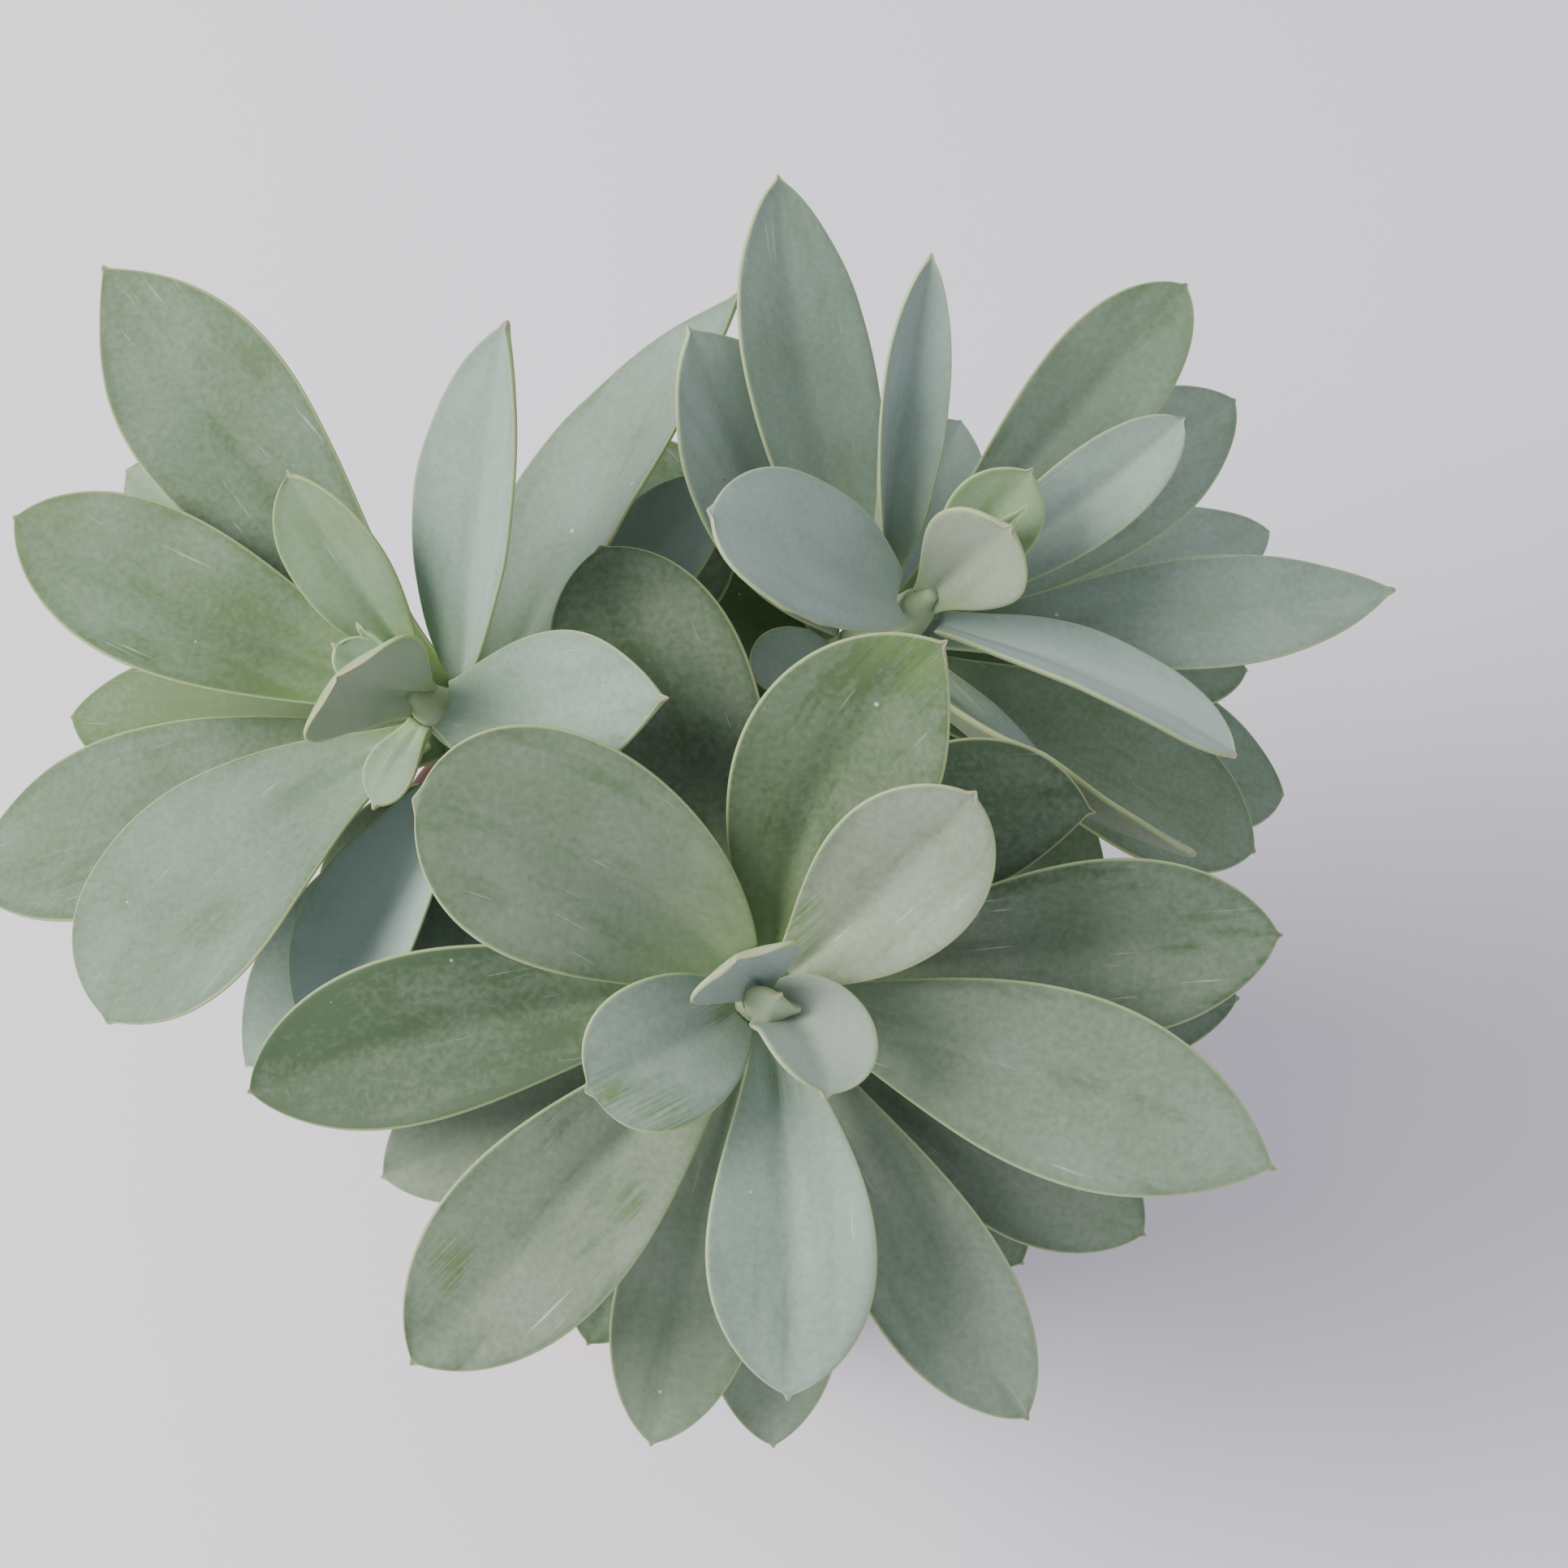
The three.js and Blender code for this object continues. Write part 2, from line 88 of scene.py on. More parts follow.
skinLook = {
    "tissue": "#3b5237",
    "yellowTissue": "#7fa148",
    "warmWax": "#9ca796",
    "coolWax": "#90a8a4",
    "underside": "#9aab8e",
    "margin": "#a2b27c",
    "blush": "#b98072",
    "dust": "#dde3dc",
    "pinprick": "#34402b",
    "mottleSize": 17,  # cloudy patches where the bloom is thicker or thinner
    "mottleDepth": 0.5,
    "powderSize": 0.9,  # the powder's own grain, drawn coarser than it is so that it shows
    "powderDepth": 0.4,
    "patchFrom": (0.45, 0.6),  # each From gives the noise values between which its marks fade in
    "rubSize": (3.2, 16),  # a rubbed streak's width across the blade and its length along it
    "rubFrom": (0.54, 0.7),
    "rubDepth": 0.26,
    "tearFrom": (0.4, 0.56),  # the patches that a finger has rubbed, torn into streaks
    "tearDepth": 0.5,
    "tearYellow": 0.5,
    "scratchSize": (0.5, 16),
    "scratchFrom": (0.66, 0.7),
    "scratchPaleness": 0.45,
    "speckApart": 4.5,
    "speckSize": 0.07,  # the largest speck's radius, as a share of the distance between specks
    "specks": ((0.42, "dust", 0.5), (0.2, "pinprick", 0.7)),  # share of them, colour, strength
    "rimInside": 2.2,  # the bloom is thinner this close to the margin
    "rimDepth": 0.14,
    "rimWidth": 0.45,
    "rimStrength": 0.75,
    "tipStart": 0.985,  # share of the way out at which the tip starts to blush
    "tipBlush": 0.35,
    "baseLength": 0.36,  # share of the blade that yellows towards its base
    "baseYellow": 0.25,
    "baseFollows": 1.6,  # how much more it yellows the yellower its leaf is
    "bumpDepth": 0.14,
}


# Living leaf tissue under a powdery wax bloom: matt and pale grey-green where the bloom is
# thick, greener and a little glossier where it is thin or rubbed off, yellow at the base. Each
# leaf's amount of wax is partly painted light and shade, making lit leaves paler and shaded ones darker.
def skinMaterial(name, look):
    m = newMaterial(name)
    place = addNode(m, "TexCoord", {}, "Object")
    blade = addNode(m, "TexCoord", {}, "UV")  # millimetres across and along the blade, over 100
    amount = {
        which: addNode(m, "Attribute", {}, "Fac", attribute_name=which)
        for which in ("bloom", "yellow", "scuff", "blush", "cool", "rub", "along", "underside", "fromEdge")
    }

    cloud = {"Vector": place, "Detail": 3.0, "Scale": 1 / (look["mottleSize"] * mm)}
    mottle = addNode(m, "TexNoise", cloud)
    powder = addNode(m, "TexNoise", {**cloud, "Scale": 1 / (look["powderSize"] * mm)})
    streaks = {}
    for kind in ("rub", "scratch"):
        wide, long = look[kind + "Size"]
        stretched = addNode(m, "Mapping", {"Vector": blade, "Scale": (100 / wide, 100 / long, 1)})
        streaks[kind] = addNode(m, "TexNoise", {"Vector": stretched, "Scale": 1.0, "Detail": 3.0})
    marks = {
        kind: addNode(m, "MapRange", {
            "Value": source, "From Min": look[kind + "From"][0], "From Max": look[kind + "From"][1],
        })
        for kind, source in (
            ("patch", mottle),
            ("rub", streaks["rub"]),
            ("tear", streaks["scratch"]),
            ("scratch", streaks["scratch"]),
        )
    }

    # how much wax is left at each place; each leaf's own amount of it is partly painted light and shade
    rubbed = addNode(m, "Math", {0: marks["rub"], 1: amount["scuff"]}, operation="MULTIPLY")
    handled = addNode(m, "Math", {0: marks["tear"], 1: amount["rub"]}, operation="MULTIPLY")
    handled = addNode(m, "Math", {0: handled, 1: look["tearDepth"]}, operation="MULTIPLY")
    uneven = addNode(m, "Math", {0: mottle, 1: 0.5}, operation="SUBTRACT")
    uneven = addNode(
        m, "Math", {0: uneven, 1: look["mottleDepth"], 2: amount["bloom"]}, operation="MULTIPLY_ADD",
    )
    dusty = addNode(m, "Math", {0: powder, 1: 0.5}, operation="SUBTRACT")
    dusty = addNode(m, "Math", {0: dusty, 1: look["powderDepth"], 2: uneven}, operation="MULTIPLY_ADD")
    bare = addNode(
        m, "Math", {0: rubbed, 1: -look["rubDepth"], 2: dusty}, operation="MULTIPLY_ADD",
    )
    bare = addNode(m, "Math", {0: bare, 1: handled}, operation="SUBTRACT")
    nearRim = addNode(
        m, "MapRange", {"Value": amount["fromEdge"], "From Min": look["rimInside"], "From Max": 0.0},
    )
    bloom = addNode(
        m, "Math", {0: nearRim, 1: -look["rimDepth"], 2: bare}, operation="MULTIPLY_ADD",
        use_clamp=True,
    )

    # the tissue under it, yellower where the leaf is young or close to the stem
    base = addNode(
        m, "MapRange", {"Value": amount["along"], "From Min": look["baseLength"], "From Max": 0.0},
    )
    young = addNode(
        m, "Math", {0: amount["yellow"], 1: look["baseFollows"], 2: look["baseYellow"]},
        operation="MULTIPLY_ADD",
    )
    yellow = addNode(
        m, "Math", {0: base, 1: young, 2: amount["yellow"]}, operation="MULTIPLY_ADD", use_clamp=True,
    )
    yellow = addNode(
        m, "Math", {0: handled, 1: look["tearYellow"], 2: yellow}, operation="MULTIPLY_ADD",
        use_clamp=True,
    )
    tissue = addNode(
        m, "Mix", {0: yellow, 6: look["tissue"], 7: look["yellowTissue"]}, 2, data_type="RGBA",
    )
    wax = addNode(
        m, "Mix", {0: amount["cool"], 6: look["warmWax"], 7: look["coolWax"]}, 2, data_type="RGBA",
    )
    wax = addNode(
        m, "Mix", {0: amount["underside"], 6: wax, 7: look["underside"]}, 2, data_type="RGBA",
    )
    skin = addNode(m, "Mix", {0: bloom, 6: tissue, 7: wax}, 2, data_type="RGBA")

    # fine pale scratches along the blade, in patches
    scratch = addNode(
        m, "Math", {0: marks["scratch"], 1: look["scratchPaleness"]}, operation="MULTIPLY",
    )
    scratch = addNode(m, "Math", {0: scratch, 1: marks["patch"]}, operation="MULTIPLY")
    scratch = addNode(m, "Math", {0: scratch, 1: amount["scuff"]}, operation="MULTIPLY")
    skin = addNode(m, "Mix", {0: scratch, 6: skin, 7: look["dust"]}, 2, data_type="RGBA")

    # specks of dust and old pinpricks, each in its own cell
    cells = addNode(
        m, "TexVoronoi", {"Vector": place, "Scale": 1 / (look["speckApart"] * mm)}, "Color",
    )
    size = addNode(m, "SeparateColor", {"Color": cells}, "Red")
    kind = addNode(m, "SeparateColor", {"Color": cells}, "Green")
    reach = addNode(m, "Math", {0: size, 1: look["speckSize"]}, operation="MULTIPLY")
    distance = cells.node.outputs["Distance"]
    speck = addNode(m, "Math", {0: distance, 1: reach}, operation="LESS_THAN")
    for share, colour, strength in look["specks"]:
        chosen = addNode(m, "Math", {0: kind, 1: share}, operation="LESS_THAN")
        chosen = addNode(m, "Math", {0: chosen, 1: speck}, operation="MULTIPLY")
        chosen = addNode(m, "Math", {0: chosen, 1: strength}, operation="MULTIPLY")
        skin = addNode(m, "Mix", {0: chosen, 6: skin, 7: look[colour]}, 2, data_type="RGBA")

    # the thin translucent margin, blushed here and there and at the very tip
    tip = addNode(m, "MapRange", {"Value": amount["along"], "From Min": look["tipStart"], "From Max": 1.0})
    tip = addNode(m, "Math", {0: tip, 1: look["tipBlush"]}, operation="MULTIPLY")
    pink = addNode(m, "Math", {0: marks["patch"], 1: amount["blush"]}, operation="MULTIPLY")
    pink = addNode(m, "Math", {0: pink, 1: tip}, operation="MAXIMUM")
    rim = addNode(m, "MapRange", {
        "Value": amount["fromEdge"], "From Min": look["rimWidth"], "From Max": 0.0,
        "To Max": look["rimStrength"],
    })
    edge = addNode(m, "Mix", {0: pink, 6: look["margin"], 7: look["blush"]}, 2, data_type="RGBA")
    skin = addNode(m, "Mix", {0: rim, 6: skin, 7: edge}, 2, data_type="RGBA")

    roughness = addNode(m, "Math", {0: rubbed, 1: -0.15, 2: 0.6}, operation="MULTIPLY_ADD")
    height = addNode(
        m, "Math", {0: streaks["rub"], 1: 0.5, 2: powder}, operation="MULTIPLY_ADD",
    )
    bump = addNode(m, "Bump", {"Height": height, "Strength": 0.3, "Distance": look["bumpDepth"] * mm})
    shader = addNode(m, "BsdfPrincipled", {
        "Base Color": skin,
        "Roughness": roughness,
        "Normal": bump,
        "IOR": 1.42,
        "Subsurface Weight": 0.15,
        "Subsurface Scale": 1.5 * mm,
        "Subsurface Radius": (0.6, 1.0, 0.35),
        "Sheen Weight": 0.1,
        "Sheen Roughness": 0.6,
    })
    addNode(m, "OutputMaterial", {"Surface": shader})
    return m


leafSkin = skinMaterial("waxyLeafSkin", skinLook)
print("leaf skin ready")


# What every leaf shares unless its own entry says otherwise.
growth = {
    "edge": 0.9,  # thickness of the margin
    "middle": 2.5,  # thickness along the midrib
    "edgeThins": 0.25,
    "middleThins": 0.55,
    "neck": 0.25,
    "cup": 0.24,
    "cupCurve": 1.4,
    "peak": 0.65,
    "blunt": 0.72,
    "clearance": 0.3,
    "channel": 0.75,  # depth of the groove along the midrib
    "channelWide": 0.2,  # its half width, as a share of half the blade's
    "mucro": 0.8,  # length of the little point at the tip
    "mucroHalf": 0.1,
    "tipThins": 0.75,
    "tooth": 0.45,
    "toothLength": 0.9,
    "unevenness": 0.45,
    "wave": 0.6,
    "waveRate": 0.055,  # how fast the uneven surface changes for each millimetre
    "leastHalf": 0.5,  # the blade is never narrower than twice this
    "columns": 18,
    "rows": 36,
    "tipRows": 3,
    "rowsClose": 1.6,  # 1 for even rows, more for rows that close up towards the tip
    "bladeEnd": 0.997,  # share of the way out at which the mucro takes over
    "scuff": 0.5,
    "blush": 0.05,
}
stem = {
    "radius": 4.5,
    "tip": 2.2,
    "taper": 14,
    "point": 4.5,
    "pointRadius": 0.9,
    "straight": 34,
    "bend": 18,
    "bendSteps": 200,
    "straightSteps": 60,
    "inside": 0.25,  # the bark lies this far inside the solid, which leaves room for the scars
    "lumps": 0.2,
    "lumpSize": 5,
    "soilTop": 84,
    "socket": 26,
    "columns": 24,
    "rows": 110,
    "scarApart": 6.5,
    "scarHeight": 0.35,
    "scarsFrom": 12,
}

# Each head, and its leaves from the youngest to the oldest. low is how far below the growing
# point a leaf starts, turn which way it points round the stem, lean its angle from the stem,
# arch and sway how it bends outwards and sideways, roll how it turns about its midrib, out how
# far from the stem's axis it starts. bloom is how much pale wax it carries, and is partly painted
# light and shade: a leaf that lies in shade carries less wax and is painted darker, and leaves
# deep in shade on the left head carry all of it to be painted lighter. cool is how blue the wax
# is, yellow how yellow the tissue is, scuff how rubbed it is, blush how pink its margin. A head's
# own cool and yellow hold for the leaves that give none. teeth are at a side and a share of the
# way out, rubs at a place across and along the blade with their reach in millimetres.
heads = {
    "front": {
        "at": (8.5, -35.5, 165),
        "lean": 25,
        "toward": -90,
        "foot": (5, -11),
        "cool": 0.25,
        "yellow": 0.05,
        "bud": [
            dict(low=1, out=2, turn=118, lean=18, long=15, wide=15, arch=-24, peak=0.8, blunt=0.3,
                 bloom=0.9, yellow=0.2, cool=0.5),
            dict(low=2, out=2.4, turn=258, lean=-24, long=9, wide=7, arch=-50, sway=-56, neck=0.8,
                 bloom=0.95, yellow=0.2, cool=0.5),
            dict(low=4, out=2, turn=304, lean=44, long=17.5, wide=14.5, arch=40, sway=-60, roll=-30,
                 cup=0.4, blunt=0.5, bloom=0.95, yellow=0.25, cool=0.3),
        ],
        "skirt": [],
        "leaves": [
            dict(low=5, out=4.5, turn=206, lean=54, long=24, wide=18.5, arch=50, blunt=0.5, bloom=0.62,
                 cool=0.6, rubs=((-0.3, 0.12, 2.5), (0.75, 0.72, 3), (0.2, 0.92, 2.5))),
            dict(low=7.5, turn=46, lean=58, long=37, wide=20, arch=4, sway=12, blunt=0.62, bloom=0.58,
                 cool=0, scuff=0.7, rubs=((0.8, 0.27, 3), (0.5, 0.13, 2.5))),
            dict(low=9, turn=273, lean=72, long=46, wide=21, arch=10, sway=-14, bloom=0.65, cool=0.7,
                 scuff=0.6, rubs=((0.2, 0.16, 2.5),)),
            dict(low=10.5, out=5.5, turn=151, lean=68, long=47.5, wide=28.5, arch=14, sway=30,
                 blunt=0.5, bloom=0.32, yellow=0.12),
            dict(low=13, turn=61, lean=65, long=50, wide=25, arch=-14, sway=-42, peak=0.6, blunt=0.85,
                 neck=0.18, bloom=0.18, yellow=0.1, scuff=0.9, rubs=((0.3, 0.93, 5),)),
            dict(low=13, turn=341.2, lean=80, long=63, wide=23.5, arch=6, sway=-10, peak=0.6, blunt=0.9,
                 bloom=0.4, scuff=0.6),
            dict(low=13, turn=226, lean=78, long=59, wide=23.5, arch=10, bloom=0.4, cool=0.1, scuff=0.8,
                 rubs=((-0.5, 0.8, 3), (0.6, 0.45, 2))),
            dict(low=17, turn=302, lean=84, long=59, wide=18.5, arch=10, sway=6, bloom=0.45),
            dict(low=22, turn=110.5, lean=92, long=57, wide=26, arch=4, blunt=0.6, bloom=0.12),
            dict(low=19, turn=192, lean=90, long=64, wide=22, arch=10, sway=20, bloom=0.06,
                 yellow=0.02),
            dict(low=19, turn=6, lean=86, long=62, wide=23, arch=6, sway=-6, bloom=0.28, scuff=0.9),
            dict(low=22, turn=256, lean=90, long=57, wide=19, arch=10, bloom=0.48, yellow=0.15),
            dict(low=27, turn=25, lean=82, long=48, wide=20, arch=4, sway=-72, blunt=0.9, bloom=0.1,
                 yellow=0),
            dict(low=24, turn=326.6, lean=92, long=55.3, wide=20.5, arch=10, bloom=0.35),
            dict(low=26, turn=207, lean=95, long=53, wide=20, arch=10, bloom=0.45, yellow=0.15),
            dict(low=27, turn=271, lean=95, long=58, wide=19, arch=10, bloom=0.55, yellow=0.2),
            dict(low=28, turn=358, lean=94, long=59, wide=20, arch=10, bloom=0.4),
            dict(low=31, turn=244, lean=97, long=51, wide=18, arch=10, bloom=0.1),
            dict(low=31, turn=312, lean=98, long=48, wide=18, arch=10, bloom=0.25),
        ],
    },
    "left": {
        "at": (-38.5, 9.5, 160),
        "lean": 27,
        "toward": 198,
        "foot": (-12, 5),
        "cool": 0.8,
        "yellow": 0.12,
        "bud": [
            dict(low=3, out=1.5, turn=128, lean=-16, long=25.5, wide=19.5, arch=-8, peak=0.82,
                 blunt=0.26, neck=0.3, bloom=0.6, yellow=0.6, cool=0.1),
            dict(low=2, out=2, turn=141, lean=30, long=12, wide=7, arch=4, blunt=0.45, bloom=0.6,
                 yellow=0.6),
            dict(low=2, out=2, turn=112, lean=30, long=11.5, wide=3, arch=4, blunt=1, bloom=0.65,
                 yellow=0.6),
        ],
        "skirt": [
            dict(low=6.5, out=3, turn=240, lean=80, long=12.5, wide=8, arch=4, neck=0.5, bloom=0.4,
                 yellow=0.4),
            dict(low=38, out=3, turn=200, lean=100, long=46, wide=20, arch=10, bloom=0.1),
        ],
        "leaves": [
            dict(low=5.5, turn=100, lean=34, long=34.5, wide=14, arch=4, sway=-6, neck=0.18, bloom=0.38,
                 yellow=0.5),
            dict(low=9, turn=47, lean=47, long=57, wide=18.5, arch=4, sway=-4, cup=0.3, peak=0.52,
                 blunt=0.85, neck=0.15, bloom=0.7),
            dict(low=4.5, out=4, turn=349.5, lean=74, long=40.5, wide=20.5, arch=10, sway=20, peak=0.58,
                 blunt=0.9, neck=0.32, bloom=0.54, teeth=((-1, 0.62),)),
            dict(low=9, turn=152.5, lean=62, long=61, wide=22, arch=10, sway=-8, bloom=0.14,
                 yellow=0.15),
            dict(low=12, turn=224.2, lean=75, long=58, wide=31.5, arch=10, sway=36, peak=0.7,
                 blunt=0.62, neck=0.15, bloom=0.34),
            dict(low=14, turn=123, lean=64, long=76, wide=25.2, arch=10, sway=1, peak=0.66, blunt=1,
                 bloom=0.14, yellow=0.1),
            # painted light: this leaf lies deep in shade, and the full wax it carries paints it lighter
            dict(low=20.8, turn=238, lean=88, long=44, wide=20, arch=10, cup=0.45, bloom=1.0),
            dict(low=17, turn=193.8, lean=76, long=71, wide=26, arch=10, bloom=0.18, yellow=0.1),
            dict(low=20, turn=53.4, lean=86, long=64.5, wide=25, arch=4, sway=-14, roll=-20, cup=0.35,
                 peak=0.5, blunt=1, bloom=0.5),
            # painted light: this leaf lies deep in shade, and the full wax it carries paints it lighter
            dict(low=26, turn=46, lean=90, long=43, wide=17, arch=10, bloom=1.0),
            dict(low=24, turn=141.5, lean=76, long=68, wide=24, arch=4, bloom=0.36, yellow=0.35),
            dict(low=25, turn=262, lean=90, long=19, wide=17, arch=4, blunt=0.45, bloom=0.5),
            dict(low=28, turn=170, lean=86, long=72, wide=21, arch=4, bloom=0.02, yellow=0.2),
            dict(low=30, turn=221, lean=92, long=57, wide=20, arch=10, bloom=0.5),
            dict(low=33, turn=48, lean=96, long=38, wide=18, arch=10, bloom=0.05),
            dict(low=34, turn=243, lean=96, long=48, wide=18, arch=10, bloom=0.45),
            dict(low=29, turn=6, lean=98, long=28, wide=15, arch=10, bloom=0.1),
        ],
    },
    "right": {
        "at": (31, 24.5, 160),
        "lean": 24,
        "toward": -12,
        "foot": (10, 10),
        "cool": 0.65,
        "yellow": 0.15,
        "bud": [
            dict(low=3, out=1.5, turn=50, lean=2, long=22.5, wide=15.5, arch=-6, peak=0.7, blunt=0.6,
                 neck=0.3, bloom=0.75, yellow=0.45, cool=0.1),
            dict(low=2, out=2.5, turn=61, lean=36, long=21, wide=13, arch=4, blunt=0.7, bloom=0.4,
                 yellow=0.65),
            dict(low=2, out=2.5, turn=50, lean=20, long=19, wide=3, arch=4, blunt=1, bloom=0.45,
                 yellow=0.6),
        ],
        "skirt": [
            dict(low=40, out=3, turn=132, lean=96, long=48, wide=27, arch=10, peak=0.5, bloom=0.1),
            dict(low=41, out=3, turn=337, lean=94, long=52, wide=21, arch=10, bloom=0.15),
        ],
        "leaves": [
            dict(low=11, out=5.9, turn=106.5, lean=42, long=48, wide=10.5, arch=4, sway=-26, cup=0.9,
                 peak=0.6, neck=0.15, bloom=0.9, yellow=0.2),
            dict(low=9, turn=40, lean=50, long=42.5, wide=12.5, arch=4, sway=16, cup=0.35, blunt=0.6,
                 bloom=0.78, yellow=0.15),
            dict(low=7, turn=331, lean=66, long=44, wide=14, arch=10, sway=-18, roll=-20, cup=0.35,
                 bloom=1.0),
            dict(low=4, out=4.1, turn=178, lean=66, long=36, wide=20, arch=30, sway=-18, neck=0.35,
                 blunt=0.5, bloom=0.88, blush=0.6, teeth=((1, 0.55), (1, 0.7))),
            dict(low=15, turn=118.3, lean=62, long=59.5, wide=20.5, arch=4, sway=-26, peak=0.57,
                 blunt=0.76, bloom=0.58, yellow=0.2),
            dict(low=13, turn=321, lean=72, long=48, wide=16, arch=4, sway=40, roll=-60, bloom=0.5),
            dict(low=15, turn=8, lean=70, long=68.5, wide=16.5, arch=10, sway=14, cup=0.35, peak=0.6,
                 blunt=0.95, bloom=0.64),
            dict(low=18, turn=54, lean=66, long=63.6, wide=17.5, arch=4, peak=0.7, blunt=0.68,
                 bloom=0.36, yellow=0.2),
            dict(low=22, turn=339, lean=86, long=59.5, wide=24, arch=10, bloom=0.28),
            dict(low=21, turn=140, lean=60, long=49, wide=28.5, arch=4, sway=-14, peak=0.55, blunt=0.9,
                 neck=0.18, bloom=0.85, yellow=0.15),
            dict(low=23, turn=200, lean=80, long=14, wide=10, arch=30, blunt=0.5, bloom=0.95),
            dict(low=25, turn=39, lean=78, long=69, wide=21, arch=4, bloom=0.58, yellow=0.15),
            dict(low=26, turn=112, lean=80, long=39, wide=17, arch=4, bloom=0.4),
            dict(low=28.5, turn=8, lean=88, long=62, wide=17, arch=10, bloom=0.3),
            dict(low=31, turn=65, lean=90, long=44, wide=18, arch=4, bloom=0.85),
            dict(low=33, turn=356.3, lean=94, long=75, wide=25, arch=10, bloom=0.36),
            dict(low=36.5, turn=27, lean=93, long=87, wide=19, arch=4, bloom=0.6),
            dict(low=34, turn=102, lean=88, long=34, wide=16, arch=4, bloom=0.4),
            dict(low=32, turn=210, lean=94, long=23, wide=14, arch=10, bloom=0.1),
        ],
    },
}


def headFrame(head):
    lean, toward = math.radians(head["lean"]), math.radians(head["toward"])
    up = Vector((math.sin(lean) * math.cos(toward), math.sin(lean) * math.sin(toward), math.cos(lean)))
    right = (Vector((1, 0, 0)) - up * up.x).normalized()
    return Vector(head["at"]), up, right, up.cross(right)


def stemRadius(low):
    share = min(1, max(0, low) / stem["taper"])
    return stem["tip"] + (stem["radius"] - stem["tip"]) * share


# half the blade's width at a share t of the way out
def halfWidth(leaf, t):
    peak, blunt = leaf["peak"], leaf["blunt"]
    rise = blunt * peak / (1 - peak)
    body = (t / peak) ** rise * ((1 - t) / (1 - peak)) ** blunt
    return leaf["wide"] / 2 * (body + leaf["neck"] * (1 - t) ** 3)


# Where each row of the blade lies: its share of the way out, how far it is past the blade's
# end, its middle, and its directions. The rows close up towards the tip.
def midribRows(head, leaf):
    at, up, right, back = headFrame(head)
    arch, sway = leaf["arch"], leaf.get("sway", 0)

    def leanAt(t):
        return math.radians(leaf["lean"] + arch * (t - 0.5))

    def outward(t):
        turn = math.radians(leaf["turn"] + sway * (t - 0.5))
        return right * math.cos(turn) + back * math.sin(turn)

    def heading(t):
        return up * math.cos(leanAt(t)) + outward(t) * math.sin(leanAt(t))

    beside = stemRadius(leaf["low"]) + growth["clearance"]
    beside += leaf["middle"] / 2 * abs(math.cos(leanAt(0)))
    centre = at - up * leaf["low"] + outward(0) * leaf.get("out", beside)
    bodyRows = leaf["rows"] - leaf["tipRows"]
    rows, before = [], 0
    for i in range(leaf["rows"] + 1):
        beyond = max(0, i - bodyRows) / leaf["tipRows"]
        t = leaf["bladeEnd"] * (1 - (1 - min(1, i / bodyRows)) ** leaf["rowsClose"])
        centre = centre + heading((before + t) / 2) * leaf["long"] * (t - before)
        before = t
        across = up.cross(outward(t)).normalized()
        above = heading(t).cross(across)
        roll = math.radians(leaf.get("roll", 0)) * min(1, 2 * t)
        side = across * math.cos(roll) + above * math.sin(roll)
        normal = above * math.cos(roll) - across * math.sin(roll)
        tip = centre + heading(t) * leaf["mucro"] * beyond
        rows.append((t, beyond, tip, side, normal))
    return rows


